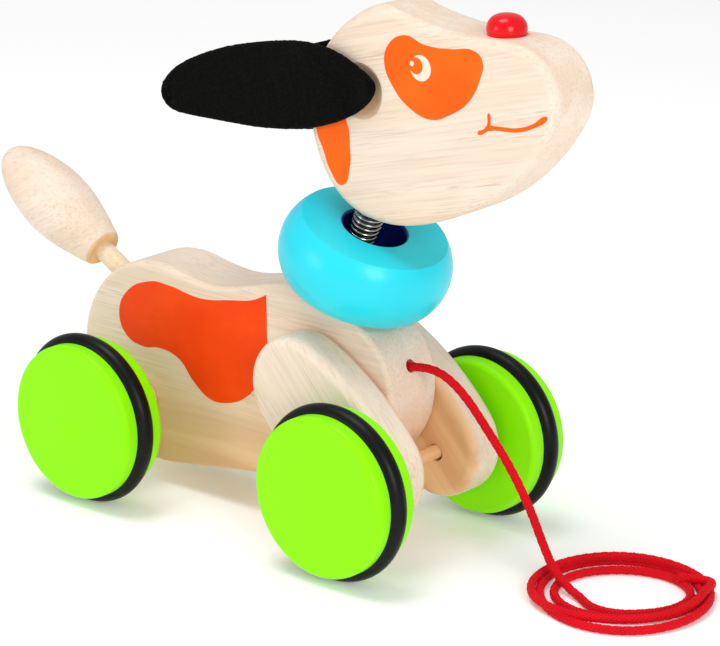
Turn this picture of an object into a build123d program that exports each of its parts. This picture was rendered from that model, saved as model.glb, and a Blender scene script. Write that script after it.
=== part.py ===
"""Pull-along toy: a wooden puppy on four wheels, with a loose ring round its spring neck.

Frame: +X towards the nose, +Y the puppy's left, +Z up, millimetres. The origin is on the
floor, under the middle of the toy's box without its cord. Outlines in the XZ plane are
given from the point on the floor midway between the axles, and mid_x moves them to the origin.
"""
from build123d import *
from math import cos, pi, radians, sin, tan
import os

os.makedirs("parts", exist_ok=True)

# ---------------------------------------------------------------- driving dimensions
mid_x = 7.2                    # middle of the wheelbase, ahead of the origin
wheelbase = 116.5
sides = {"left": 1, "right": -1}

torso_thickness = 25.0
torso_edge = 2.0               # radius of a board's rounded edges
head_thickness = 22.0
head_edge = 3.0
leg_thickness = 15.4
leg_edge = 3.5
cut_margin = 1.0               # how far a through cut runs past a face

tyre_outer_radius = 31.0
tyre_section_radius = 3.6
disc_radius = 28.1
disc_width = 18.4
disc_inner_edge = 1.8          # radius of the round between the inner face and the rim
disc_outer_edge = 2.4
disc_crown = 0.4               # bulge of the outer face at its middle
disc_inner_face = 31.8         # distance of the disc's inner face from the middle plane
groove_from_inner_face = 9.2
groove_slack = 0.05            # between the tyre and its groove
axle_radius = 2.5
axle_socket_depth = 10.0
axle_bore_radius = 3.1         # loose hole that an axle turns in
axle_bore_drop = 0.4           # the toy hangs on its axles, so each hole's centre is lower
spacer_radius = 7.0
spacer_gap = 0.3

spring_radius = 5.4
spring_wire = 1.9
neck_lean = 25.0               # degrees forward of vertical
neck_foot = (22.3, 79.5)       # lower end of the spring, inside the torso
neck_length = 55.1
neck_swing = 8.0               # degrees that the bores leave room for
neck_bore_depth_torso = 15.0
neck_bore_depth_head = 14.0
neck_bore_slack = 0.5          # round the spring's buried end
neck_bore_run_out = 1.0        # beyond the spring's buried end

collar_outer_radius = 30.4
collar_flat_radius = 25.8
collar_bore_radius = 11.2
collar_thickness = 24.0
collar_lip = 1.2               # radius of the round at the bore's ends
collar_lean = 21.0
collar_centre = (37.0, 100.1)

nose_radius = 6.8
nose_height = 7.0
nose_place = (97.0, 186.4)
nose_stem_radius = 3.0
nose_stem_length = 10.0
nose_seat_depth = 2.0          # shallow flat cut in the muzzle for the cap

ear_thickness = 3.0
ear_edge = 0.8
ear_gap = 0.7                  # between the felt and the side of the head
ear_root = (44.0, 161.3)
ear_droop = {"left": 16.3, "right": 8.7}    # degrees that the tip hangs below the root
dimple_radius = 9.7
dimple_depth = 3.4
ear_boss_radius = 3.0
ear_boss_length = 2.2            # into the dimple
ear_boss_overlap = 0.5          # into the felt

tail_foot = (-89.9, 78.2)      # centre of the bead's flat end
tail_rise = 29.9               # degrees above horizontal, pointing backwards
tail_dowel_radius = 3.75
tail_dowel_out = 9.2           # dowel seen between the torso and the bead
tail_dowel_in_torso = 12.0
tail_dowel_in_bead = 20.0
bead_length = 56.6

cord_radius = 1.5
cord_hole_radius = 2.3
cord_hole_length = 30.0
coil_centre = (141.3, 8.8)
coil_outer_radius = 32.0
coil_inner_radius = 16.5
coil_height = 7.5
coil_edge = 2.0

axle_height = tyre_outer_radius
axle_x = {"front": wheelbase / 2, "rear": -wheelbase / 2}
torso_half = torso_thickness / 2
head_half = head_thickness / 2
leg_outer = torso_half + leg_thickness


# ---------------------------------------------------------------- helpers
def plate(outline, y_low, y_high, edge_radius):
    """A flat board between two Y planes from a closed XZ outline, with rounded edges."""
    face = Plane.XZ * make_face(outline)
    board = Pos(0, y_high, 0) * extrude(face, amount=y_high - y_low)
    rims = board.faces().filter_by(Axis.Y).edges()
    return fillet(rims, edge_radius)


def along_y(radius, y_low, y_high, x, z):
    """A round bar along Y."""
    bar = Cylinder(radius, y_high - y_low, align=(Align.CENTER, Align.CENTER, Align.MIN))
    return Pos(x, y_low, z) * Rot(-90, 0, 0) * bar


def leaning(point, lean):
    """Plane at an XZ point whose normal leans forward from vertical."""
    tilt = radians(lean)
    return Plane(origin=(point[0], 0, point[1]), x_dir=(cos(tilt), 0, -sin(tilt)),
                 z_dir=(sin(tilt), 0, cos(tilt)))


def turned(profile):
    """A solid turned about Z from a closed wire in the XZ plane."""
    return revolve(Plane.XZ * make_face(profile), Axis.Z, 360)


def save(name, solid):
    """Move a finished piece to the object's origin and write it."""
    placed = Pos(mid_x, 0, 0) * solid
    placed.label = name
    export_step(placed, f"parts/{name}.step")


# ---------------------------------------------------------------- torso and legs
def torso_outline():
    """Round rump, dipped back, raised shoulder, rounded chest and slightly rising belly."""
    rump_centre = (-51.0, 46.0)
    rump_radius = 37.5
    rump_top = 80.0            # degrees
    belly_rise = 8.4           # degrees
    rump = CenterArc(rump_centre, rump_radius, rump_top, 270 + belly_rise - rump_top)
    belly_length = 62.0
    belly_way = (cos(radians(belly_rise)), sin(radians(belly_rise)))
    belly_end = rump @ 1 + Vector(*belly_way) * belly_length
    belly = Line(rump @ 1, belly_end)
    shoulder = (20, 88.2)
    chest = Spline(belly_end, (42, 26.5), (55, 40), (58.9, 54), (54, 71.2), (40, 82.8), shoulder,
                   tangents=[belly_way, (-1, 0)])
    back = Spline(shoulder, (-2, 84.9), (-24, 80.4), rump @ 0, tangents=[(-1, 0), tuple(rump % 0)])
    return rump + belly + chest + back


def make_torso():
    body = plate(torso_outline(), -torso_half, torso_half, torso_edge)
    body -= along_y(axle_bore_radius, -torso_half - cut_margin, torso_half + cut_margin,
                    axle_x["rear"], axle_height - axle_bore_drop)
    neck_bore = Cone(spring_radius + neck_bore_slack, neck_mouth_radius(neck_bore_depth_torso),
                     neck_bore_depth_torso, align=(Align.CENTER, Align.CENTER, Align.MIN))
    body -= leaning(neck_foot, neck_lean) * Pos(0, 0, -neck_bore_run_out) * neck_bore
    body -= tail_plane() * Pos(0, 0, -tail_dowel_out - tail_dowel_in_torso) * Cylinder(
        tail_dowel_radius, tail_dowel_in_torso * 2, align=(Align.CENTER, Align.CENTER, Align.MIN))
    body -= cord_hole()
    return body


def neck_mouth_radius(depth):
    """Radius of a bore's mouth that lets the spring swing about its buried end."""
    return spring_radius + neck_bore_slack + depth * tan(radians(neck_swing))


def leg_outline():
    """Long oval: one round end above and behind, one round the axle, slightly bulged sides."""
    small_centre = Vector(26.6, 56.4)
    small_radius = 18.7
    large_centre = Vector(57.0, 32.7)
    large_radius = 18.9
    side_radius = 104.0
    span = large_centre - small_centre
    to_small = side_radius - small_radius
    to_large = side_radius - large_radius
    along = (to_small ** 2 - to_large ** 2 + span.length ** 2) / (2 * span.length)
    across = (to_small ** 2 - along ** 2) ** 0.5
    way = span.normalized()
    normal = Vector(-way.Y, way.X)
    ends = []
    for turn in (1, -1):
        hub = small_centre + way * along - normal * (turn * across)
        near_small = hub + (small_centre - hub).normalized() * side_radius
        near_large = hub + (large_centre - hub).normalized() * side_radius
        middle = hub + ((near_small + near_large) / 2 - hub).normalized() * side_radius
        ends.append((near_small, middle, near_large))
    upper, lower = ends
    small_tip = small_centre - way * small_radius
    large_tip = large_centre + way * large_radius
    return (ThreePointArc(*upper) + ThreePointArc(upper[2], large_tip, lower[2])
            + ThreePointArc(lower[2], lower[1], lower[0]) + ThreePointArc(lower[0], small_tip, upper[0]))


def make_leg(side):
    low = torso_half if side > 0 else -leg_outer
    leg = plate(leg_outline(), low, low + leg_thickness, leg_edge)
    return leg - along_y(axle_bore_radius, low - cut_margin, low + leg_thickness + cut_margin,
                         axle_x["front"], axle_height - axle_bore_drop)


# ---------------------------------------------------------------- wheels
def wheel_profile():
    """Half section of a disc: blind socket, rounded rims, tyre groove, slightly crowned face."""
    inner_flat = disc_radius - disc_inner_edge
    outer_flat = disc_radius - disc_outer_edge
    bend = 1 - sin(pi / 4)     # share of a round's radius from its corner to its middle
    inner_bend = (disc_radius - disc_inner_edge * bend, disc_inner_edge * bend)
    outer_bend = (disc_radius - disc_outer_edge * bend, disc_width - disc_outer_edge * bend)
    groove_radius = tyre_section_radius + groove_slack
    groove_centre = tyre_outer_radius - tyre_section_radius
    half_gap = (groove_radius ** 2 - (disc_radius - groove_centre) ** 2) ** 0.5
    low_lip = (disc_radius, groove_from_inner_face - half_gap)
    high_lip = (disc_radius, groove_from_inner_face + half_gap)
    inner_rim = (disc_radius, disc_inner_edge)
    outer_rim = (disc_radius, disc_width - disc_outer_edge)
    dome_radius = (outer_flat ** 2 + disc_crown ** 2) / (2 * disc_crown)
    dome_centre = disc_width + disc_crown - dome_radius
    dome_middle = (outer_flat / 2, dome_centre + (dome_radius ** 2 - (outer_flat / 2) ** 2) ** 0.5)
    dome_top = (0, disc_width + disc_crown)
    socket_end = (axle_radius, axle_socket_depth)
    return (Line((axle_radius, 0), (inner_flat, 0))
            + ThreePointArc((inner_flat, 0), inner_bend, inner_rim)
            + Line(inner_rim, low_lip)
            + ThreePointArc(low_lip, (groove_centre - groove_radius, groove_from_inner_face), high_lip)
            + Line(high_lip, outer_rim)
            + ThreePointArc(outer_rim, outer_bend, (outer_flat, disc_width))
            + ThreePointArc((outer_flat, disc_width), dome_middle, dome_top)
            + Line(dome_top, (0, axle_socket_depth))
            + Line((0, axle_socket_depth), socket_end)
            + Line(socket_end, (axle_radius, 0)))


def on_wheel(solid, side, axle):
    """Stand a turned piece on an axle, its base on the disc's inner face plane."""
    return Pos(axle_x[axle], side * disc_inner_face, axle_height) * Rot(-90 * side, 0, 0) * solid


def make_tyre():
    ring = Torus(tyre_outer_radius - tyre_section_radius, tyre_section_radius)
    return Pos(0, 0, groove_from_inner_face) * ring


def make_spacer(inner_end):
    """Wooden ring on the axle, from near the leg or torso out to the disc."""
    length = disc_inner_face - inner_end - spacer_gap
    ring = Cylinder(spacer_radius, length, align=(Align.CENTER, Align.CENTER, Align.MAX))
    ring -= Cylinder(axle_radius, length, align=(Align.CENTER, Align.CENTER, Align.MAX))
    return ring


# ---------------------------------------------------------------- neck
def make_spring():
    """Close-wound spring as a sleeve whose outside is scalloped, one bulge for each turn."""
    turns = round(neck_length / spring_wire)
    valley = spring_radius - spring_wire / 2
    outside = [
        ThreePointArc((valley, i * spring_wire), (spring_radius, (i + 0.5) * spring_wire),
                      (valley, (i + 1) * spring_wire))
        for i in range(turns)]
    top = turns * spring_wire
    bore = spring_radius - spring_wire
    profile = Wire(outside + [Line((valley, top), (bore, top)), Line((bore, top), (bore, 0)),
                              Line((bore, 0), (valley, 0))])
    return leaning(neck_foot, neck_lean) * turned(profile)


def make_collar():
    half = collar_thickness / 2
    lip = collar_lip
    inner = collar_bore_radius
    profile = (Line((inner + lip, half), (collar_flat_radius, half))
               + ThreePointArc((collar_flat_radius, half), (collar_outer_radius, 0),
                               (collar_flat_radius, -half))
               + Line((collar_flat_radius, -half), (inner + lip, -half))
               + RadiusArc((inner + lip, -half), (inner, -half + lip), lip)
               + Line((inner, -half + lip), (inner, half - lip))
               + RadiusArc((inner, half - lip), (inner + lip, half), lip))
    return leaning(collar_centre, collar_lean) * turned(profile)


# ---------------------------------------------------------------- head
def head_outline():
    """Round crown, dip before the muzzle, blunt round snout, long full cheek and jaw."""
    return Spline((57.5, 191.2), (80, 187.0), (97, 186.4), (112.5, 185.6), (122, 179.2), (125.6, 168),
                  (119.6, 153.8), (99, 133), (76, 121.4), (54, 116.9), (36, 121.6),
                  (24.3, 136), (20.6, 154), (28.3, 175), (42.5, 187.6), periodic=True)


def neck_top():
    tilt = radians(neck_lean)
    return (neck_foot[0] + neck_length * sin(tilt), neck_foot[1] + neck_length * cos(tilt))


def make_head():
    head = plate(head_outline(), -head_half, head_half, head_edge)
    neck_bore = Cone(neck_mouth_radius(neck_bore_depth_head), spring_radius + neck_bore_slack,
                     neck_bore_depth_head, align=(Align.CENTER, Align.CENTER, Align.MAX))
    head -= leaning(neck_top(), neck_lean) * Pos(0, 0, neck_bore_run_out) * neck_bore
    sphere_radius = (dimple_radius ** 2 + dimple_depth ** 2) / (2 * dimple_depth)
    for side in sides.values():
        out = side * (head_half - dimple_depth + sphere_radius)
        head -= Pos(ear_root[0], out, ear_root[1]) * Sphere(sphere_radius)
    stem_hole = Cylinder(nose_stem_radius, nose_stem_length,
                         align=(Align.CENTER, Align.CENTER, Align.MAX))
    head -= Pos(nose_place[0], 0, nose_place[1]) * stem_hole
    cap_seat = Cylinder(nose_radius, nose_seat_depth, align=(Align.CENTER, Align.CENTER, Align.MIN))
    return head - Pos(nose_place[0], 0, nose_place[1]) * cap_seat


def make_nose():
    """Domed cap with a stem that is glued into the muzzle."""
    skirt = 1.6
    taper = 0.3
    shoulder = (nose_radius * 0.78, nose_height * 0.78)
    profile = (Line((0, -nose_stem_length), (nose_stem_radius, -nose_stem_length))
               + Line((nose_stem_radius, -nose_stem_length), (nose_stem_radius, 0))
               + Line((nose_stem_radius, 0), (nose_radius - taper, 0))
               + Line((nose_radius - taper, 0), (nose_radius, skirt))
               + Spline((nose_radius, skirt), shoulder, (0, nose_height), tangents=[(0, 1), (-1, 0)])
               + Line((0, nose_height), (0, -nose_stem_length)))
    return Pos(nose_place[0], 0, nose_place[1]) * turned(profile)


def ear_outline(droop):
    """Long felt leaf from its root: first coordinate towards the tip, second upwards."""
    leaf = ((-8.5, 1.4), (-1.2, 9.2), (10.0, 15.2), (24.8, 17.6), (48.0, 16.7), (64.3, 14.2),
            (77.6, 10.2), (85.2, 5.2), (87.6, 0.8), (86.6, -3.2), (81.5, -6.8), (63.6, -9.9),
            (40.5, -12.6), (18.9, -12.0), (0.5, -6.9))
    hang = radians(droop)
    points = [(ear_root[0] - u * cos(hang) - v * sin(hang), ear_root[1] - u * sin(hang) + v * cos(hang))
              for u, v in leaf]
    return Spline(*points, periodic=True)


def make_ear(side, droop):
    near = head_half + ear_gap
    low = near if side > 0 else -near - ear_thickness
    leaf = plate(ear_outline(droop), low, low + ear_thickness, ear_edge)
    boss_low = near - ear_boss_length if side > 0 else -near - ear_boss_overlap
    return leaf + along_y(ear_boss_radius, boss_low, boss_low + ear_boss_length + ear_boss_overlap,
                          ear_root[0], ear_root[1])


# ---------------------------------------------------------------- tail
def tail_plane():
    """Plane at the centre of the bead's flat end, its normal along the tail."""
    return leaning(tail_foot, tail_rise - 90)


def make_tail_dowel():
    start = -tail_dowel_out - tail_dowel_in_torso
    length = tail_dowel_in_bead - start
    dowel = Cylinder(tail_dowel_radius, length, align=(Align.CENTER, Align.CENTER, Align.MIN))
    return tail_plane() * Pos(0, 0, start) * dowel


def make_tail_bead():
    """Long bead: flat end with a small chamfer, fullest before its middle, blunt round tip."""
    end_radius = 7.5
    edge = 0.8
    rim = (end_radius, edge)
    tip = (0, bead_length)
    side = ((9.9, 9.0), (12.7, 24.0), (11.9, 38.0), (8.2, 49.9))
    profile = (Line((0, tail_dowel_in_bead), (tail_dowel_radius, tail_dowel_in_bead))
               + Line((tail_dowel_radius, tail_dowel_in_bead), (tail_dowel_radius, 0))
               + Line((tail_dowel_radius, 0), (end_radius - edge, 0))
               + Line((end_radius - edge, 0), rim)
               + Spline(rim, *side, tip, tangents=[(0.35, 1), (-1, 0)])
               + Line(tip, (0, tail_dowel_in_bead)))
    return tail_plane() * turned(profile)


# ---------------------------------------------------------------- cord
cord_route = [
    (48.0, 0.0, 63.4), (58.5, 0.0, 65.4), (70.0, 0.0, 66.3), (80.8, -0.3, 60.8), (91.0, -0.2, 50.2),
    (101.0, 0.3, 38.6), (109.5, 0.2, 26.2), (115.8, -0.5, 14.2), (119.8, -1.2, 5.4)]


def cord_hole():
    """Hole in the chest on the line of the cord's first run."""
    start = Vector(*cord_route[0])
    way = (Vector(*cord_route[1]) - start).normalized()
    drill = Cylinder(cord_hole_radius, cord_hole_length, align=(Align.CENTER, Align.CENTER, Align.MIN))
    return Plane(origin=start, z_dir=way) * drill


def cord_radii(points):
    """Each corner's arc: 0.45 of the shorter run over the tangent of half the turn."""
    radii = []
    for before, corner, after in zip(points, points[1:], points[2:]):
        arriving = Vector(*corner) - Vector(*before)
        leaving = Vector(*after) - Vector(*corner)
        half_turn = radians(arriving.get_angle(leaving)) / 2
        radii.append(0.45 * min(arriving.length, leaving.length) / tan(half_turn))
    return radii


def make_coil():
    """Outer shape of the loose coil that the cord lies in on the floor."""
    ring = Cylinder(coil_outer_radius, coil_height, align=(Align.CENTER, Align.CENTER, Align.MIN))
    ring = fillet(ring.edges(), coil_edge)
    ring -= Cylinder(coil_inner_radius, coil_height, align=(Align.CENTER, Align.CENTER, Align.MIN))
    return Pos(coil_centre[0], coil_centre[1], 0) * ring


def make_cord(coil):
    radii = cord_radii(cord_route)
    path = FilletPolyline(*cord_route, radius=radii)
    start = Plane(origin=path @ 0, z_dir=path % 0)
    tube = sweep(start * Circle(cord_radius), path=path)
    print("cord arcs, mm:", [round(r, 1) for r in radii])
    print("tube volume over section times length:",
          round(tube.volume / (pi * cord_radius ** 2 * path.length), 4),
          " length", round(path.length, 1))
    return tube - coil


# ---------------------------------------------------------------- the object
save("torso", make_torso())
save("neck_spring", make_spring())
save("collar_ring", make_collar())
save("head", make_head())
save("nose", make_nose())
save("tail_dowel", make_tail_dowel())
save("tail_bead", make_tail_bead())

spacer_start = {"front": leg_outer, "rear": torso_half}
disc = turned(wheel_profile())
tyre = make_tyre()
for side_name, side in sides.items():
    save(f"front_leg_{side_name}", make_leg(side))
    save(f"ear_{side_name}", make_ear(side, ear_droop[side_name]))
    for axle_name in axle_x:
        save(f"{axle_name}_wheel_{side_name}", on_wheel(disc, side, axle_name))
        save(f"{axle_name}_tyre_{side_name}", on_wheel(tyre, side, axle_name))
        save(f"{axle_name}_spacer_{side_name}",
             on_wheel(make_spacer(spacer_start[axle_name]), side, axle_name))

axle_end = disc_inner_face + axle_socket_depth
for axle_name, x in axle_x.items():
    save(f"{axle_name}_axle", along_y(axle_radius, -axle_end, axle_end, x, axle_height))

coil = make_coil()
save("cord_coil", coil)
save("cord", make_cord(coil))
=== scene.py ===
"""Looks of the pull-along puppy: wood, lacquer, rubber, felt, spring wire and a braided cord.

The toy's own frame has +X towards the nose, +Y the puppy's left and +Z up. Blender's unit is the
metre. Places and outlines are given in millimetres, with x from the middle of the wheelbase, and
at() turns them into metres in that frame. Angles are given in degrees.
"""
import math

import bmesh
import bpy
import numpy as np
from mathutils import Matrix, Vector, noise


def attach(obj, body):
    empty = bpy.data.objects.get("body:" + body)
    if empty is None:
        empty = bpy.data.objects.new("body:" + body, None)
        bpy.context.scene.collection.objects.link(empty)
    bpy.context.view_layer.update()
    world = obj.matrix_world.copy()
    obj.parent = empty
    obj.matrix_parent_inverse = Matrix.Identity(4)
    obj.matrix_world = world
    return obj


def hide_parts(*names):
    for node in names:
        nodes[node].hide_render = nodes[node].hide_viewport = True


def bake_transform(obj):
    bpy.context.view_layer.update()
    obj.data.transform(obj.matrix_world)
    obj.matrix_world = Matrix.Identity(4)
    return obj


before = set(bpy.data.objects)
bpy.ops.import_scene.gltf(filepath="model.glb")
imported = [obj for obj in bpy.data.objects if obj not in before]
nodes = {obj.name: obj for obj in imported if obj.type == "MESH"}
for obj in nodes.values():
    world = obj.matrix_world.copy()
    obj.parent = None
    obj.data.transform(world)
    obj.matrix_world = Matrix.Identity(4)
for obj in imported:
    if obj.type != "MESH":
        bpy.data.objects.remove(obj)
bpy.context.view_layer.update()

mm = 0.001

MID_X = 7.2            # from the frame's origin to the middle of the wheelbase
TORSO_SIDE = 12.5      # from the middle plane to the torso's side
HEAD_SIDE = 11.0       # and to the head's
SIDES = {"right": -1, "left": 1}

TAIL_FOOT = (-89.9, 78.2)
TAIL_LEAN = 29.9
COLLAR_CENTRE = (37.0, 100.1)
COLLAR_LEAN = 21.0
EAR_ROOT = (44.0, 161.3)
EAR_DROOP = {"left": 16.3, "right": 8.7}


def at(x, y, z):
    """A point in metres in the toy's frame."""
    return Vector(((x + MID_X) * mm, y * mm, z * mm))


def tilted(degrees):
    """The way up, leant towards the nose."""
    lean = math.radians(degrees)
    return Vector((math.sin(lean), 0, math.cos(lean)))


def link(made):
    """Puts an object in the scene."""
    bpy.context.scene.collection.objects.link(made)
    return made


# ---------------------------------------------------------------- camera
VIEW_AZIMUTH = math.radians(40.78)
VIEW_ELEVATION = math.radians(17.69)
VIEW_DISTANCE = 1.1326     # m
VIEW_TARGET = at(34.5, 0, 75.8)
SENSOR_WIDTH = 36
LENS = 164.5


def make_camera():
    level_way = math.cos(VIEW_ELEVATION)
    back = Vector((math.sin(VIEW_AZIMUTH) * level_way, -math.cos(VIEW_AZIMUTH) * level_way,
                   math.sin(VIEW_ELEVATION)))
    data = bpy.data.cameras.new("view")
    data.sensor_width = SENSOR_WIDTH
    data.lens = LENS
    camera = link(bpy.data.objects.new("view", data))
    camera.location = VIEW_TARGET + back * VIEW_DISTANCE
    camera.rotation_euler = (-back).to_track_quat("-Z", "Y").to_euler()
    bpy.context.scene.camera = camera


# ---------------------------------------------------------------- materials
class Graph:
    """A material's nodes. An input given as a socket is linked, and any other value is set."""

    def __init__(self, name):
        self.material = bpy.data.materials.new(name)
        self.material.use_nodes = True
        self.tree = self.material.node_tree
        self.shader = self.tree.nodes["Principled BSDF"]

    def add(self, kind, inputs=(), **settings):
        node = self.tree.nodes.new("ShaderNode" + kind)
        for name, value in settings.items():
            setattr(node, name, value)
        for key, value in dict(inputs).items():
            self.put(node.inputs[key], value)
        return node

    def put(self, socket, value):
        if isinstance(value, bpy.types.NodeSocket):
            self.tree.links.new(value, socket)
        else:
            socket.default_value = value

    def place(self, stretch=(1, 1, 1), turn=(0, 0, 0), start=(0, 0, 0)):
        """Object coordinates, turned by degrees and then stretched."""
        source = self.add("TexCoord").outputs["Object"]
        turned = self.add("Mapping", {"Vector": source, "Location": start,
                                      "Rotation": [math.radians(a) for a in turn]}).outputs[0]
        return self.add("VectorMath", {0: turned, 1: stretch}, operation="MULTIPLY").outputs[0]

    def noise(self, where, detail, roughness=0.5, distortion=0.0):
        found = self.add("TexNoise", {"Vector": where, "Scale": 1.0, "Detail": detail,
                                      "Roughness": roughness, "Distortion": distortion})
        return found.outputs["Fac"]

    def between(self, value, low, high, to_low=0.0, to_high=1.0):
        """value's stretch from low to high, smoothly mapped and held outside it."""
        made = self.add("MapRange", {"Value": value, "From Min": low, "From Max": high,
                                     "To Min": to_low, "To Max": to_high},
                        interpolation_type="SMOOTHSTEP")
        return made.outputs["Result"]

    def math(self, operation, a, b=0.0):
        return self.add("Math", {0: a, 1: b}, operation=operation).outputs[0]

    def mix(self, amount, a, b):
        made = self.add("Mix", data_type="RGBA", blend_type="MIX")
        for key, value in (("Factor", amount), ("A", a), ("B", b)):
            socket = next(s for s in made.inputs
                          if s.name == key and s.type == ("VALUE" if key == "Factor" else "RGBA"))
            self.put(socket, value)
        return next(s for s in made.outputs if s.type == "RGBA")

    def bump(self, height, strength, distance):
        made = self.add("Bump", {"Height": height, "Strength": strength, "Distance": distance})
        self.put(self.shader.inputs["Normal"], made.outputs[0])

    def finish(self, **values):
        """Sets the shader's own inputs by name, with underscores for spaces."""
        for name, value in values.items():
            self.put(self.shader.inputs[name.replace("_", " ")], value)
        return self.material


def rgb(red, green, blue):
    return (red, green, blue, 1.0)


WOOD_LIGHT = rgb(0.88, 0.74, 0.61)
WOOD_DARK = rgb(0.83, 0.655, 0.505)
WOOD_PORE = rgb(0.48, 0.31, 0.20)
# colours of painted shade, which brown the wood where shade falls
WOOD_SHADE_WARM = rgb(0.90, 0.56, 0.27)
WOOD_SHADE_BROWN = rgb(0.76, 0.42, 0.18)
PALE_DOWEL = rgb(0.86, 0.71, 0.46)
WHEEL_GREEN = rgb(0.285, 0.93, 0.0), rgb(0.25, 0.87, 0.0)
NOSE_RED = rgb(0.78, 0.002, 0.008), rgb(0.66, 0.001, 0.006)
COLLAR_BLUE = rgb(0.02, 0.69, 0.82), rgb(0.014, 0.60, 0.79)
# painted shade in the collar's hole
COLLAR_HOLE_SHADE = rgb(0.003, 0.012, 0.16)
RUBBER_BLACK = rgb(0.0012, 0.0013, 0.0016), rgb(0.004, 0.0042, 0.005)
FELT_BLACK = rgb(0.0018, 0.0017, 0.0016), rgb(0.016, 0.0145, 0.012)
STEEL = rgb(0.46, 0.45, 0.42), rgb(0.33, 0.32, 0.30)
CORD_RED = rgb(0.74, 0.002, 0.012), rgb(0.56, 0.001, 0.008)
# a dark red core: painted shade, seen in the gaps between the braid's yarns
CORD_CORE_SHADE = rgb(0.24, 0.001, 0.005), rgb(0.18, 0.001, 0.004)
HEAD_ORANGE = rgb(1.0, 0.145, 0.004), rgb(0.94, 0.11, 0.002)
BODY_ORANGE = rgb(0.98, 0.073, 0.002), rgb(0.88, 0.05, 0.001)
EYE_CREAM = rgb(0.88, 0.78, 0.64), rgb(0.80, 0.66, 0.50)
PAPER_WHITE = rgb(0.93, 0.93, 0.93), rgb(0.95, 0.95, 0.95)
WHITE = rgb(1.0, 1.0, 1.0)

# how the grain is turned, by degrees
HEAD_GRAIN = (0, 15, 0)
TORSO_GRAIN = (0, 0, 0)
LEG_GRAIN = (0, -48, 0)
TAIL_GRAIN = (0, TAIL_LEAN, 0)
AXLE_GRAIN = (0, 0, 90)


def grain(g, turn, seed, fine=1.0):
    """Fibre, growth and pore values of rubberwood, whose grain runs along the turned X."""
    start = (seed * 0.31, seed * 0.17, seed * 0.23)
    fibre = g.noise(g.place((24, 1000 * fine, 1000 * fine), turn, start), detail=4,
                    roughness=0.65)
    growth = g.noise(g.place((6, 85 * fine, 85 * fine), turn, start), detail=3, roughness=0.55,
                     distortion=0.6)
    dashes = g.noise(g.place((95, 2300 * fine, 2300 * fine), turn, start), detail=1.5)
    crowd = g.noise(g.place((14, 120, 120), turn, start), detail=2)
    pores = g.math("MULTIPLY", g.between(dashes, 0.58, 0.68), g.between(crowd, 0.44, 0.66))
    return fibre, growth, pores


def reach(g, centre, axis=None):
    """Distance in metres from a point, or from a line through it."""
    away = g.add("VectorMath", {0: g.place(), 1: centre}, operation="SUBTRACT").outputs[0]
    if axis:
        along = g.add("VectorMath", {0: away, 1: axis}, operation="DOT_PRODUCT").outputs["Value"]
        over = g.add("VectorMath", {0: axis, "Scale": along}, operation="SCALE").outputs[0]
        away = g.add("VectorMath", {0: away, 1: over}, operation="SUBTRACT").outputs[0]
    return g.add("VectorMath", {0: away}, operation="LENGTH").outputs["Value"]


def level(g, way, origin=(0, 0, 0)):
    """Metres along a direction from a point."""
    away = g.add("VectorMath", {0: g.place(), 1: origin}, operation="SUBTRACT").outputs[0]
    return g.add("VectorMath", {0: away, 1: way}, operation="DOT_PRODUCT").outputs["Value"]


def wood(name, turn, seed, fine=1.0, light=WOOD_LIGHT, painted_shade=None):
    """Rubberwood. Its last argument gives, from 0 to 1, where painted shade browns the wood."""
    g = Graph(name)
    fibre, growth, pores = grain(g, turn, seed, fine)
    ground = g.mix(g.between(growth, 0.32, 0.68), light, WOOD_DARK)
    streaked = g.mix(g.between(fibre, 0.42, 0.75, 0.0, 0.3), ground, WOOD_PORE)
    colour = g.mix(g.math("MULTIPLY", pores, 0.42), streaked, WOOD_PORE)
    # painted shade: the wood browns where the last argument says shade falls
    if painted_shade:
        shaded_wood = g.mix(g.between(growth, 0.4, 0.62), WOOD_SHADE_WARM, WOOD_SHADE_BROWN)
        colour = g.mix(painted_shade(g), colour, shaded_wood)
    height = g.math("SUBTRACT", g.math("MULTIPLY", fibre, 0.3), pores)
    g.bump(height, 0.22, 0.0001)
    return g.finish(Base_Color=colour, Roughness=g.between(growth, 0.2, 0.8, 0.48, 0.6),
                    Specular_IOR_Level=0.25, Coat_Weight=0.06, Coat_Roughness=0.35)


def lacquer(name, colours, roughness, coat, seed):
    """Thick paint on wood: slight orange peel, faint grain under it, slow colour drift."""
    g = Graph(name)
    colour, shade = colours
    drift = g.noise(g.place((14, 14, 14), start=(seed, 0, 0)), detail=2)
    peel = g.noise(g.place((420, 420, 420)), detail=2)
    under = g.noise(g.place((25, 500, 500), start=(0, seed, 0)), detail=3)
    dots = g.noise(g.place((1500, 1500, 1500), start=(0, 0, seed)), detail=1)
    specks = g.between(dots, 0.72, 0.8)
    tinted = g.mix(g.between(drift, 0.3, 0.7, 0.0, 0.5), colour, shade)
    g.bump(g.math("ADD", peel, g.math("MULTIPLY", under, 0.5)), 0.1, 0.0002)
    return g.finish(Base_Color=g.mix(g.math("MULTIPLY", specks, 0.15), tinted, shade),
                    Roughness=g.between(peel, 0.3, 0.7, roughness - 0.04, roughness + 0.05),
                    Coat_Weight=coat, Coat_Roughness=0.16, Specular_IOR_Level=0.12)


def printed(name, colours, turn, seed):
    """Ink printed on bare wood, with the wood's own grain showing through it."""
    g = Graph(name)
    colour, shade = colours
    fibre, growth, pores = grain(g, turn, seed)
    worn = g.between(g.noise(g.place((60, 60, 60)), detail=3), 0.25, 0.75)
    ground = g.mix(worn, colour, shade)
    streaked = g.mix(g.between(fibre, 0.45, 0.8, 0.0, 0.35), ground, shade)
    g.bump(g.math("SUBTRACT", g.math("MULTIPLY", fibre, 0.3), pores), 0.15, 0.0001)
    return g.finish(Base_Color=g.mix(g.math("MULTIPLY", pores, 0.4), streaked, shade),
                    Roughness=g.between(growth, 0.2, 0.8, 0.45, 0.55), Specular_IOR_Level=0.12)


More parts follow.
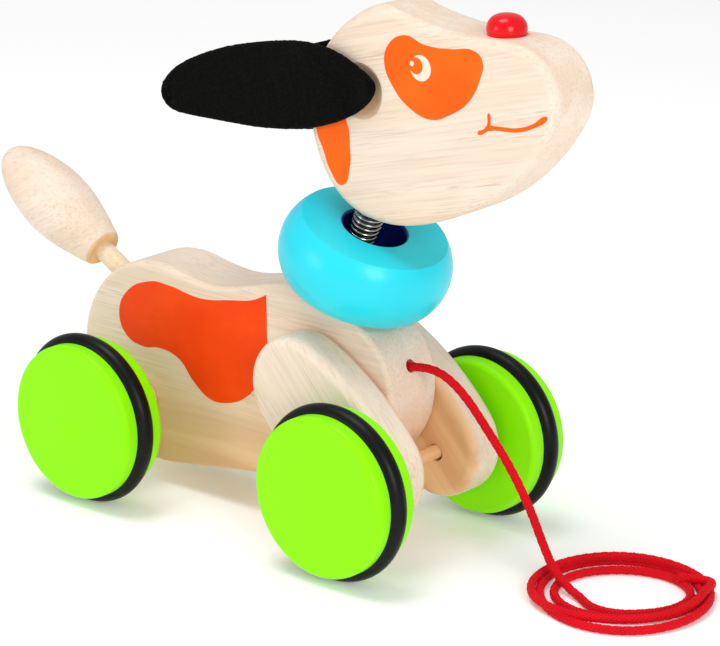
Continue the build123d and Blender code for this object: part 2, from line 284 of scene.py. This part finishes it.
def collar_paint():
    """Blue lacquer, and painted shade: dark navy in the hole, where shade falls."""
    g = Graph("collar_blue")
    radius = reach(g, at(COLLAR_CENTRE[0], 0, COLLAR_CENTRE[1]), tilted(COLLAR_LEAN))
    peel = g.noise(g.place((380, 380, 380)), detail=2)
    drift = g.noise(g.place((16, 16, 16)), detail=2)
    outside = g.mix(g.between(drift, 0.3, 0.7, 0.0, 0.5), *COLLAR_BLUE)
    # painted shade: 0 in the hole, where the navy stands for its shade, and 1 on the blue outside
    # it
    hole_shade_fade = g.between(radius, 0.0117, 0.0123)
    g.bump(peel, 0.08, 0.0002)
    return g.finish(Base_Color=g.mix(hole_shade_fade, COLLAR_HOLE_SHADE, outside),
                    Roughness=g.between(peel, 0.3, 0.7, 0.32, 0.42), Specular_IOR_Level=0.2,
                    Coat_Weight=0.22, Coat_Roughness=0.2)


def rubber():
    g = Graph("tyre_rubber")
    fine = g.noise(g.place((2600, 2600, 2600)), detail=2)
    smear = g.noise(g.place((45, 45, 45)), detail=3)
    dust = g.between(smear, 0.45, 0.8, 0.0, 0.5)
    g.bump(fine, 0.12, 0.00005)
    return g.finish(Base_Color=g.mix(dust, *RUBBER_BLACK),
                    Roughness=g.between(smear, 0.3, 0.7, 0.34, 0.44), Specular_IOR_Level=0.2)


def felt():
    g = Graph("ear_felt")
    lumps = g.noise(g.place((420, 420, 420)), detail=3, roughness=0.6)
    fibres = g.noise(g.place((1400, 3200, 2200), (0, 25, 0)), detail=4, roughness=0.7,
                     distortion=1.5)
    fleck = g.between(fibres, 0.5, 0.75)
    g.bump(g.math("ADD", lumps, g.math("MULTIPLY", fibres, 0.7)), 0.6, 0.0004)
    return g.finish(Base_Color=g.mix(fleck, *FELT_BLACK), Roughness=0.95,
                    Specular_IOR_Level=0.05, Sheen_Weight=0.02, Sheen_Roughness=0.5)


def steel():
    g = Graph("spring_steel")
    drawn = g.noise(g.place((900, 900, 3000)), detail=3)
    smear = g.noise(g.place((160, 160, 160)), detail=2)
    g.bump(drawn, 0.08, 0.00003)
    return g.finish(Base_Color=g.mix(g.between(smear, 0.3, 0.7), *STEEL), Metallic=1.0,
                    Roughness=g.between(drawn, 0.3, 0.7, 0.12, 0.22))


def braid(name, colours):
    g = Graph(name)
    colour, shade = colours
    yarn = g.noise(g.place((2400, 2400, 2400)), detail=3, roughness=0.6)
    drift = g.noise(g.place((70, 70, 70)), detail=2)
    tinted = g.mix(g.between(drift, 0.3, 0.7, 0.0, 0.5), colour, shade)
    g.bump(yarn, 0.3, 0.00015)
    return g.finish(Base_Color=g.mix(g.between(yarn, 0.5, 0.75, 0.0, 0.5), tinted, shade),
                    Roughness=0.62, Specular_IOR_Level=0.12, Sheen_Weight=0.02, Sheen_Roughness=0.4)


def paper():
    g = Graph("floor_paper")
    soft = g.noise(g.place((6, 6, 6)), detail=2)
    return g.finish(Base_Color=g.mix(soft, *PAPER_WHITE), Roughness=0.9, Specular_IOR_Level=0.0,
                    Emission_Color=WHITE, Emission_Strength=0.16)


UP = (0, 0, 1)
ACROSS = (0, 1, 0)


def belly_shade(g):
    """Painted shade: the wood browns towards the belly, where shade falls."""
    return g.between(level(g, UP), 0.016, 0.058, 0.85, 0.0)


def head_shade(g):
    """Painted shade: brown wood in the two dimples that the ears sit in, under the ears' shadow,
    and towards the bottom of the jaw.
    """
    root = at(EAR_ROOT[0], 0, EAR_ROOT[1])
    dimple = g.between(reach(g, root, ACROSS), 0.0068, 0.0102, 0.75, 0.0)
    jaw = g.between(level(g, UP), 0.116, 0.135, 0.22, 0.0)
    return g.math("MAXIMUM", dimple, jaw)


def leg_inner_shade(g):
    """Painted shade: a leg is brown on the face towards the torso, where shade falls."""
    middle = g.math("ABSOLUTE", level(g, ACROSS))
    return g.between(middle, 0.0128, 0.0165, 0.9, 0.0)


def axle_shade(g):
    """Painted shade: an axle is brown between the legs, where shade falls."""
    middle = g.math("ABSOLUTE", level(g, ACROSS))
    return g.between(middle, 0.008, 0.026, 0.9, 0.2)


def bead_end_shade(g):
    """Painted shade: brown on the bead's flat end, which lies in shade."""
    lean = math.radians(TAIL_LEAN)
    out = level(g, (-math.cos(lean), 0, math.sin(lean)), at(TAIL_FOOT[0], 0, TAIL_FOOT[1]))
    return g.between(out, 0.0002, 0.0016, 0.95, 0.0)


def paint_nodes():
    """Gives every CAD node that stays in the picture its material."""
    green = lacquer("wheel_green", WHEEL_GREEN, roughness=0.42, coat=0.06, seed=1)
    dowel = wood("dowel_wood", TAIL_GRAIN, 4, 1.2, light=PALE_DOWEL)
    axle = wood("axle_wood", AXLE_GRAIN, 5, 1.2, light=PALE_DOWEL, painted_shade=axle_shade)
    materials = {
        "torso": wood("torso_wood", TORSO_GRAIN, 1, painted_shade=belly_shade),
        "head": wood("head_wood", HEAD_GRAIN, 2, painted_shade=head_shade),
        "nose": lacquer("nose_red", NOSE_RED, roughness=0.25, coat=0.35, seed=3),
        "collar_ring": collar_paint(),
        "tail_dowel": dowel,
        "tail_bead": wood("tail_wood", TAIL_GRAIN, 6, painted_shade=bead_end_shade),
        "front_axle": axle,
        "rear_axle": axle,
    }
    tyre = rubber()
    for side in SIDES:
        materials[f"front_leg_{side}"] = wood(f"leg_wood_{side}", LEG_GRAIN, 7 + SIDES[side],
                                              painted_shade=leg_inner_shade)
        for end in ("front", "rear"):
            materials[f"{end}_wheel_{side}"] = green
            materials[f"{end}_tyre_{side}"] = tyre
            materials[f"{end}_spacer_{side}"] = axle
    for name, material in materials.items():
        mesh = nodes[name].data
        mesh.materials.clear()
        mesh.materials.append(material)


# ---------------------------------------------------------------- mesh helpers
def finished_mesh(mesh, material):
    """Shades a mesh smooth, gives it its material and puts it in the scene under its own name."""
    mesh.polygons.foreach_set("use_smooth", [True] * len(mesh.polygons))
    mesh.materials.append(material)
    return link(bpy.data.objects.new(mesh.name, mesh))


def new_object(name, vertices, faces, material):
    mesh = bpy.data.meshes.new(name)
    mesh.from_pydata([tuple(v) for v in vertices], [], faces)
    return finished_mesh(mesh, material)


def capped_tube(rings):
    """Vertices and faces of a closed tube through rings of equal size, each a list of points."""
    count = len(rings[0])
    vertices = [point for ring in rings for point in ring]
    faces = []
    for i in range(len(rings) - 1):
        here, there = i * count, (i + 1) * count
        for j in range(count):
            k = (j + 1) % count
            faces.append((here + j, here + k, there + k, there + j))
    faces.append(tuple(reversed(range(count))))
    faces.append(tuple(range((len(rings) - 1) * count, len(rings) * count)))
    return vertices, faces


# ---------------------------------------------------------------- cord
CORE_RADIUS = 0.00125      # m, of what the yarns are laid on
YARN_STEP = 0.0006         # m between the yarns' rings
CORD_LEAD = [
    at(48.0, 0.0, 63.4), at(58.5, 0.0, 65.4), at(70.0, 0.0, 66.3), at(80.8, -0.3, 60.8),
    at(91.0, -0.2, 50.2), at(101.0, 0.3, 38.6), at(109.5, 0.2, 26.2), at(115.8, -0.5, 15.0),
    at(120.2, -1.0, 8.4), at(124.6, -1.3, 4.6), at(129.3, -1.8, 2.2)]
COIL_CENTRE = at(141.3, 8.8, 0.0)
COIL_FIRST_QUARTER = 221.0     # angle of the first of the quarters below
COIL_START = 238.0             # where the lead has landed inside the coil
COIL_END = 30.0 + 4 * 360.0
COIL_STEP = 22.5
# radius and height at the first quarter, and then a quarter turn further each time
COIL_QUARTERS = [
    (13.6, 1.6), (18.0, 1.5), (24.0, 1.5), (21.0, 1.5),
    (22.5, 1.5), (22.5, 1.6), (27.6, 1.6), (29.6, 1.5),
    (27.2, 1.5), (32.6, 1.5), (30.4, 2.6), (27.0, 4.3),
    (30.4, 3.0), (27.6, 3.4), (28.6, 5.4), (28.6, 5.4)]
CORD_TAIL = [
    at(165.7, 26.4, 5.2), at(163.0, 30.8, 4.6), at(157.0, 31.4, 4.0), at(150.5, 28.6, 3.4)]


def coil_point(angle):
    """A point of the loose coil: radius and height drift from each quarter to the next."""
    place = (angle - COIL_FIRST_QUARTER) / 90.0
    index = max(0, min(int(math.floor(place)), len(COIL_QUARTERS) - 2))
    share = place - index
    share = share * share * (3 - 2 * share)
    (radius, height), (next_radius, next_height) = COIL_QUARTERS[index:index + 2]
    radius = (radius + (next_radius - radius) * share) * mm
    height = (height + (next_height - height) * share) * mm
    turn = math.radians(angle)
    return (COIL_CENTRE[0] + radius * math.cos(turn), COIL_CENTRE[1] + radius * math.sin(turn),
            height)


def nurbs(name, points, bevel):
    """An open NURBS curve of order 3 on those control points."""
    data = bpy.data.curves.new(name, "CURVE")
    data.dimensions = "3D"
    data.resolution_u = 6
    data.bevel_depth = bevel
    data.bevel_resolution = 4
    data.use_fill_caps = True
    spline = data.splines.new("NURBS")
    spline.points.add(len(points) - 1)
    for slot, point in zip(spline.points, points):
        slot.co = (*point, 1.0)
    spline.order_u = 3
    spline.use_endpoint_u = True
    return link(bpy.data.objects.new(name, data))


def curve_line(points):
    """The points of the NURBS curve itself, as an array."""
    bare = nurbs("bare_line", points, 0.0)
    mesh = bpy.data.meshes.new_from_object(bare)
    line = np.array([v.co for v in mesh.vertices], float)
    bpy.data.objects.remove(bare)
    bpy.data.meshes.remove(mesh)
    return line


def even(line, spacing):
    """The line again, with points a fixed distance apart."""
    steps = np.linalg.norm(np.diff(line, axis=0), axis=1)
    travelled = np.concatenate([[0], np.cumsum(steps)])
    wanted = np.linspace(0, travelled[-1], int(travelled[-1] / spacing) + 1)
    return np.stack([np.interp(wanted, travelled, line[:, k]) for k in range(3)], axis=1)


def carried_frames(line):
    """Tangent, and two cross directions that turn with the line without twisting."""
    tangents = np.gradient(line, axis=0)
    tangents /= np.linalg.norm(tangents, axis=1)[:, None]
    first = np.cross(tangents[0], (0, 1, 0))
    normals = [first / np.linalg.norm(first)]
    for tangent in tangents[1:]:
        carried = normals[-1] - tangent * np.dot(normals[-1], tangent)
        normals.append(carried / np.linalg.norm(carried))
    normals = np.array(normals)
    return tangents, normals, np.cross(tangents, normals)


def braid_strands(line, material):
    """Plaited yarns round the cord: half wind each way, and pass over and under each other."""
    yarns = 6                       # each way
    pitch = 0.0098                  # m, of one turn of a yarn
    mean = 0.00122                  # m, the radius that the yarns wind at
    wave = 0.00013                  # m, how far they pass over and under it
    wide, thick = 0.00046, 0.00026  # m, half a yarn's width and thickness
    corners = [2 * math.pi * k / 6 for k in range(6)]
    section = [(math.cos(corner) * wide, math.sin(corner) * thick) for corner in corners]
    tangents, normals, sides = carried_frames(line)
    along = np.arange(len(line)) * np.linalg.norm(line[1] - line[0])
    vertices, faces = [], []
    for way in (1, -1):
        for yarn in range(yarns):
            turn = way * 2 * math.pi * (along / pitch) + 2 * math.pi * yarn / yarns
            crossing = yarns * (2 * math.pi * along / pitch) + way * 2 * math.pi * yarn * 0.5
            radius = mean + way * wave * np.cos(crossing)
            out = normals * np.cos(turn)[:, None] + sides * np.sin(turn)[:, None]
            round_way = -normals * np.sin(turn)[:, None] + sides * np.cos(turn)[:, None]
            slope = 2 * math.pi * mean / pitch
            across = np.cross(out, way * round_way * slope + tangents)
            across /= np.linalg.norm(across, axis=1)[:, None]
            centre = line + out * radius[:, None]
            start = len(vertices)
            rings = np.stack([centre + across * a + out * b for a, b in section], axis=1)
            tube_vertices, tube_faces = capped_tube([list(r) for r in rings])
            vertices.extend(tube_vertices)
            faces.extend(tuple(start + i for i in face) for face in tube_faces)
    return new_object("cord_braid", vertices, faces, material)


def make_cord():
    turns = round((COIL_END - COIL_START) / COIL_STEP)
    coil = [coil_point(COIL_START + (COIL_END - COIL_START) * i / turns)
            for i in range(turns + 1)]
    route = CORD_LEAD + coil + CORD_TAIL
    red = braid("cord_red", CORD_RED)
    # the core's dark red paints the shade in the gaps between the yarns
    core_shade = braid("cord_core_shade", CORD_CORE_SHADE)
    core = nurbs("pull_cord", route, CORE_RADIUS)
    core.data.materials.append(core_shade)
    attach(core, "frame")
    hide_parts("cord", "cord_coil")
    plait = braid_strands(even(curve_line(route), YARN_STEP), red)
    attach(plait, "frame")


# ---------------------------------------------------------------- spring
NECK_FOOT = at(22.3, 0, 79.5)
NECK_AXIS = tilted(25)
SPRING_TURNS = 29
HALFWAY_TURN = 14


def spring_half(name, first_turn, last_turn, material):
    """Close-wound wire between two counts of turns from the foot."""
    pitch = 0.0019             # m
    wire = 0.00091             # m, its radius
    coil = 0.0054 - wire       # m, the radius of its middle line
    steps, section = 26, 10    # rings a turn, and corners of a ring
    side = Vector((NECK_AXIS.z, 0, -NECK_AXIS.x))
    rings = []
    corners = [2 * math.pi * k / section for k in range(section)]
    for i in range((last_turn - first_turn) * steps + 1):
        turns = first_turn + i / steps
        angle = 2 * math.pi * turns
        out = side * math.cos(angle) + Vector(ACROSS) * math.sin(angle)
        centre = NECK_FOOT + NECK_AXIS * (turns * pitch) + out * coil
        rings.append([centre + out * (wire * math.cos(corner))
                      + NECK_AXIS * (wire * math.sin(corner)) for corner in corners])
    return new_object(name, *capped_tube(rings), material)


def make_spring():
    bright = steel()
    lower = spring_half("spring_lower", 0, HALFWAY_TURN, bright)
    upper = spring_half("spring_upper", HALFWAY_TURN, SPRING_TURNS, bright)
    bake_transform(lower)
    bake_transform(upper)
    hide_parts("neck_spring")
    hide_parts("neck_spring")


# ---------------------------------------------------------------- printed patches
PRINT_THICKNESS = 0.05
FIRST_PRINT = PRINT_THICKNESS / 2       # lift off the wood of a print's middle
SECOND_PRINT = PRINT_THICKNESS * 1.5    # and of a print on a print
APART = 0.015                           # between prints that cross each other


def flat_print(name, outline, side, plane, lift, body, material):
    """A thin printed shape on a side face, from (x, z) points; a third value is a sharp corner."""
    data = bpy.data.curves.new(name, "CURVE")
    data.dimensions = "2D"
    data.fill_mode = "BOTH"
    data.resolution_u = 10
    data.extrude = PRINT_THICKNESS * mm / 2
    spline = data.splines.new("BEZIER")
    spline.bezier_points.add(len(outline) - 1)
    spline.use_cyclic_u = True
    for point, place in zip(spline.bezier_points, outline):
        point.co = (place[0] * mm, place[1] * mm, 0)
        sharp = len(place) == 3
        point.handle_left_type = point.handle_right_type = "VECTOR" if sharp else "AUTO"
    made = link(bpy.data.objects.new(name + "_curve", data))
    evaluated = made.evaluated_get(bpy.context.evaluated_depsgraph_get())
    mesh = bpy.data.meshes.new_from_object(evaluated)
    bpy.data.objects.remove(made)
    y = side * (plane + lift)
    for vertex in mesh.vertices:
        x, z, depth = vertex.co
        vertex.co = at(x / mm, y + side * depth / mm, z / mm)
    mesh.name = name
    mesh.materials.append(material)
    placed = link(bpy.data.objects.new(name, mesh))
    bm = bmesh.new()
    bm.from_mesh(mesh)
    bmesh.ops.remove_doubles(bm, verts=bm.verts, dist=1e-7)
    bmesh.ops.recalc_face_normals(bm, faces=bm.faces)
    bm.to_mesh(mesh)
    bm.free()
    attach(placed, body)


def arc(centre, radius, first, last, count):
    """Points on a circle between two angles in degrees."""
    angles = [math.radians(first + (last - first) * i / (count - 1)) for i in range(count)]
    return [(centre[0] + radius * math.cos(a), centre[1] + radius * math.sin(a)) for a in angles]


def crescent(centre, radius, bite_offset, bite_radius):
    """A disc with a smaller disc bitten out of its edge."""
    gap = math.hypot(*bite_offset)
    way = math.degrees(math.atan2(bite_offset[1], bite_offset[0]))

    def half_angle(own, other):
        """Half the angle that the discs' common chord takes up in the disc of the first radius."""
        return math.degrees(math.acos((own ** 2 + gap ** 2 - other ** 2) / (2 * own * gap)))

    outer = half_angle(radius, bite_radius)
    inner = half_angle(bite_radius, radius)
    bite = (centre[0] + bite_offset[0], centre[1] + bite_offset[1])
    rim = arc(centre, radius, way + outer, way + 360 - outer, 17)
    hollow = arc(bite, bite_radius, way + 180 + inner, way + 180 - inner, 13)
    return [(*rim[0], 0)] + rim[1:-1] + [(*rim[-1], 0)] + hollow[1:-1]


def stroke(points, width):
    """Outline of a line of constant width with round ends, as a closed list of points."""
    line = np.array(points, float)
    way = np.gradient(line, axis=0)
    way /= np.linalg.norm(way, axis=1)[:, None]
    left = np.stack([-way[:, 1], way[:, 0]], axis=1) * width / 2
    start = line[0] - way[0] * width / 2
    end = line[-1] + way[-1] * width / 2
    return ([tuple(p) for p in line + left] + [tuple(end)]
            + [tuple(p) for p in (line - left)[::-1]] + [tuple(start)])


EYE_PATCH = [
    (54.5, 173), (56.6, 179.4), (63.4, 183.1), (71, 181.2), (76.5, 180.9), (82.4, 181.3),
    (93.2, 181.9), (95.9, 179.2), (95, 173.3), (90, 164.6), (82.6, 159.4), (75, 156.5),
    (66, 158.7), (58.4, 164.9)]
CHEEK_PATCH = [
    (24.5, 147), (27, 152), (34, 154), (38.2, 149.6), (39.6, 141), (39.6, 135.1),
    (36, 127.5), (31, 131.5), (28, 137.6)]
BODY_PATCH = [
    (-70, 60.8), (-66.3, 69.5), (-53.5, 76.2), (-45, 76.4), (-29.4, 74.7), (-14.4, 77),
    (-4, 79.2), (2.3, 82.3, 0), (2.5, 70), (2.0, 57), (-1.5, 49.5), (-8.5, 42),
    (-17, 38.3), (-25.2, 37.9), (-33, 42.6), (-40.2, 49.7), (-49.6, 51.8), (-58.2, 50.7),
    (-66.7, 53.5)]
EYE_CENTRE = (70.1, 173.1)
EYE_DOT_CENTRE = (EYE_CENTRE[0] - 3.7, EYE_CENTRE[1] + 1.0)
SMILE = [(98.4, 157.6), (101.5, 158.1), (106, 158.4), (110.3, 158.9), (116.8, 161.3),
         (121.9, 164.7)]
CHEEK_TICK = [(94.8, 155.4), (96.9, 156.4), (98.9, 158.2)]
SMILE_TICK = [(98.8, 158.0), (98.9, 160.0), (98.8, 162.0)]


def make_prints():
    head_ink = printed("head_orange", HEAD_ORANGE, HEAD_GRAIN, 2)
    body_ink = printed("body_orange", BODY_ORANGE, TORSO_GRAIN, 1)
    eye_ink = printed("eye_cream", EYE_CREAM, HEAD_GRAIN, 2)
    head_prints = {
        "eye_patch": (EYE_PATCH, FIRST_PRINT, head_ink),
        "cheek_patch": (CHEEK_PATCH, FIRST_PRINT, head_ink),
        "smile": (stroke(SMILE, 1.4), FIRST_PRINT, head_ink),
        "cheek_tick": (stroke(CHEEK_TICK, 1.3), FIRST_PRINT + APART, head_ink),
        "smile_tick": (stroke(SMILE_TICK, 1.2), FIRST_PRINT + 2 * APART, head_ink),
        "eye_crescent": (crescent(EYE_CENTRE, 4.35, (-1.9, 0.5), 2.85), SECOND_PRINT, eye_ink),
        "eye_dot": (arc(EYE_DOT_CENTRE, 0.85, 0, 315, 8), SECOND_PRINT, eye_ink),
    }
    for name, side in SIDES.items():
        flat_print(f"body_patch_{name}", BODY_PATCH, side, TORSO_SIDE, FIRST_PRINT, "frame",
                   body_ink)
        for kind, (outline, lift, ink) in head_prints.items():
            flat_print(f"{kind}_{name}", outline, side, HEAD_SIDE, lift, "head", ink)


# ---------------------------------------------------------------- ears
EAR_GAP = 0.7
EAR_THICKNESS = 3.0
HALF_EAR = EAR_THICKNESS / 2
# u runs from the root to the tip and v upwards across the leaf
EAR_LEAF = [
    (-8.5, 1.4), (-1.2, 9.2), (10.0, 15.2), (24.8, 17.6), (48.0, 16.7), (64.3, 14.2),
    (77.6, 10.2), (85.2, 5.2), (87.6, 0.8), (86.6, -3.2), (81.5, -6.8), (63.6, -9.9),
    (40.5, -12.6), (18.9, -12.0), (0.5, -6.9)]
RIM_POINTS = 220
RIM_INSETS = [0.0, 0.25, 0.7, 1.3, 2.2, 3.6]    # of the rings in from the rim
INNER_SHARES = [0.45, 0.62, 0.8]                # of the way in to the leaf's middle line
MERGE_DISTANCE = 2e-5                           # m


def smooth_loop(points, count):
    """Evenly spread points of a closed smooth curve through the given ones."""
    ring = np.array(points, float)
    dense = []
    for i in range(len(ring)):
        a, b, c, d = (ring[(i + k) % len(ring)] for k in (-1, 0, 1, 2))
        for t in np.linspace(0, 1, 24, endpoint=False):
            dense.append(0.5 * (2 * b + (c - a) * t + (2 * a - 5 * b + 4 * c - d) * t ** 2
                                + (3 * b - a - 3 * c + d) * t ** 3))
    dense = np.array(dense + [dense[0]])
    steps = np.linalg.norm(np.diff(dense, axis=0), axis=1)
    travelled = np.concatenate([[0], np.cumsum(steps)])
    wanted = np.linspace(0, travelled[-1], count, endpoint=False)
    return np.stack([np.interp(wanted, travelled, dense[:, k]) for k in range(2)], axis=1)


def ear_lift(u, v):
    """How far the felt is off flat: pulled into the dimple, lifted round it and at the tip."""
    from_root = math.hypot(u - 1.5, v + 0.5)
    pulled = -1.7 * math.exp(-(from_root / 6.5) ** 2)
    fold = 1.3 * math.exp(-((u - 17) / 12) ** 2 - ((v - 11) / 7) ** 2)
    tip = 2.2 * max(0.0, (u - 25) / 65) ** 2
    camber = 0.8 * (1 - (v / 16) ** 2) * min(1.0, max(0.0, u / 30))
    return pulled + fold + tip + camber


def felt_point(name, u, v, inset, face):
    """A point of an ear's outer (1) or inner (-1) face, that far in from the rim."""
    side = SIDES[name]
    hang = math.radians(EAR_DROOP[name])
    near = HEAD_SIDE + EAR_GAP
    edge = math.sqrt(max(0.0, 1 - (1 - min(inset / HALF_EAR, 1)) ** 2))
    bumps = noise.noise(Vector((u, v, face * 5 + side * 9)) * 0.55) * 0.22
    bumps += noise.noise(Vector((u, v, face * 3 + side * 7)) * 1.6) * 0.12
    out = near + HALF_EAR + ear_lift(u, v) + face * HALF_EAR * edge + bumps * edge
    out = max(out, near if u > 0 else near - 2.0)
    x = EAR_ROOT[0] - u * math.cos(hang) - v * math.sin(hang)
    z = EAR_ROOT[1] - u * math.sin(hang) + v * math.cos(hang)
    return at(x, side * out, z)


def felt_rings(name):
    """Rings of points from the rim inwards: those of the outer face, and those of the inner one."""
    rim = smooth_loop(EAR_LEAF, RIM_POINTS)
    spine = np.array([(min(max(u, 4.0), 80.0), 1.5 - 0.01 * u) for u, v in rim])
    depth = np.linalg.norm(spine - rim, axis=1)

    def ring(face, inset=None, share=None):
        points = []
        for i in range(RIM_POINTS):
            part = share if inset is None else inset / depth[i]
            u, v = rim[i] + (spine[i] - rim[i]) * part
            if inset is not None and inset < 1:
                rough = noise.noise(Vector((u * 1.1, v * 1.1, SIDES[name] * 3))) * 0.22
                u, v = (u, v) + (rim[i] - spine[i]) / depth[i] * rough
            points.append(felt_point(name, u, v, part * depth[i], face))
        return points

    outer, inner = ([ring(face, inset=inset) for inset in insets]
                    + [ring(face, share=share) for share in INNER_SHARES]
                    for face, insets in ((1, RIM_INSETS), (-1, RIM_INSETS[1:])))
    return outer, inner


def make_ear(name, material):
    """A felt leaf: rings of quads over both faces, which share the rim, and a filled middle."""
    outer, inner = felt_rings(name)
    bm = bmesh.new()
    outer_rings, inner_rings = ([[bm.verts.new(point) for point in ring] for ring in rings]
                                for rings in (outer, inner))
    inner_rings = outer_rings[:1] + inner_rings
    for rings, flip in ((outer_rings, SIDES[name] > 0), (inner_rings, SIDES[name] < 0)):
        for here, there in zip(rings, rings[1:]):
            for i in range(RIM_POINTS):
                j = (i + 1) % RIM_POINTS
                quad = (here[i], here[j], there[j], there[i])
                bm.faces.new(quad if flip else quad[::-1])
    for rings in (outer_rings, inner_rings):
        middle = rings[-1]
        edges = [bm.edges.get((middle[i], middle[(i + 1) % RIM_POINTS]))
                 for i in range(RIM_POINTS)]
        bmesh.ops.triangle_fill(bm, edges=edges, use_beauty=True)
    bmesh.ops.remove_doubles(bm, verts=bm.verts, dist=MERGE_DISTANCE)
    bmesh.ops.recalc_face_normals(bm, faces=bm.faces)
    mesh = bpy.data.meshes.new(f"felt_ear_{name}")
    bm.to_mesh(mesh)
    bm.free()
    ear = finished_mesh(mesh, material)
    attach(ear, f"{name}_ear")
    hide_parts(f"ear_{name}")


# ---------------------------------------------------------------- floor and light
FLOOR_REACH = 6        # m each way
SKY_STRENGTH = 0.51
LIGHT_TARGET = Vector((0.02, 0, 0.08))
# name, place in metres, size in metres and power in watts
SOFT_BOXES = [
    ("top_box", (-0.2, -0.3, 2.0), 0.9, 17.0),
    ("front_box", (1.3, -0.7, 0.6), 0.6, 8.5),
    ("side_box", (-0.6, -1.4, 0.5), 0.6, 3.5)]


def make_stage():
    corners = [(-1, -1), (1, -1), (1, 1), (-1, 1)]
    floor = new_object("floor", [(x * FLOOR_REACH, y * FLOOR_REACH, 0) for x, y in corners],
                       [(0, 1, 2, 3)], paper())
    world = bpy.data.worlds.new("studio")
    world.use_nodes = True
    background = world.node_tree.nodes["Background"]
    background.inputs["Color"].default_value = WHITE
    background.inputs["Strength"].default_value = SKY_STRENGTH
    bpy.context.scene.world = world
    bpy.context.scene.view_settings.view_transform = "Standard"
    for name, place, size, power in SOFT_BOXES:
        data = bpy.data.lights.new(name, "AREA")
        data.shape = "SQUARE"
        data.size = size
        data.energy = power
        lamp = link(bpy.data.objects.new(name, data))
        lamp.location = place
        lamp.rotation_euler = (LIGHT_TARGET - Vector(place)).to_track_quat("-Z", "Y").to_euler()


make_camera()
make_cord()
paint_nodes()
make_spring()
make_prints()
black_felt = felt()
for ear_name in SIDES:
    make_ear(ear_name, black_felt)
make_stage()
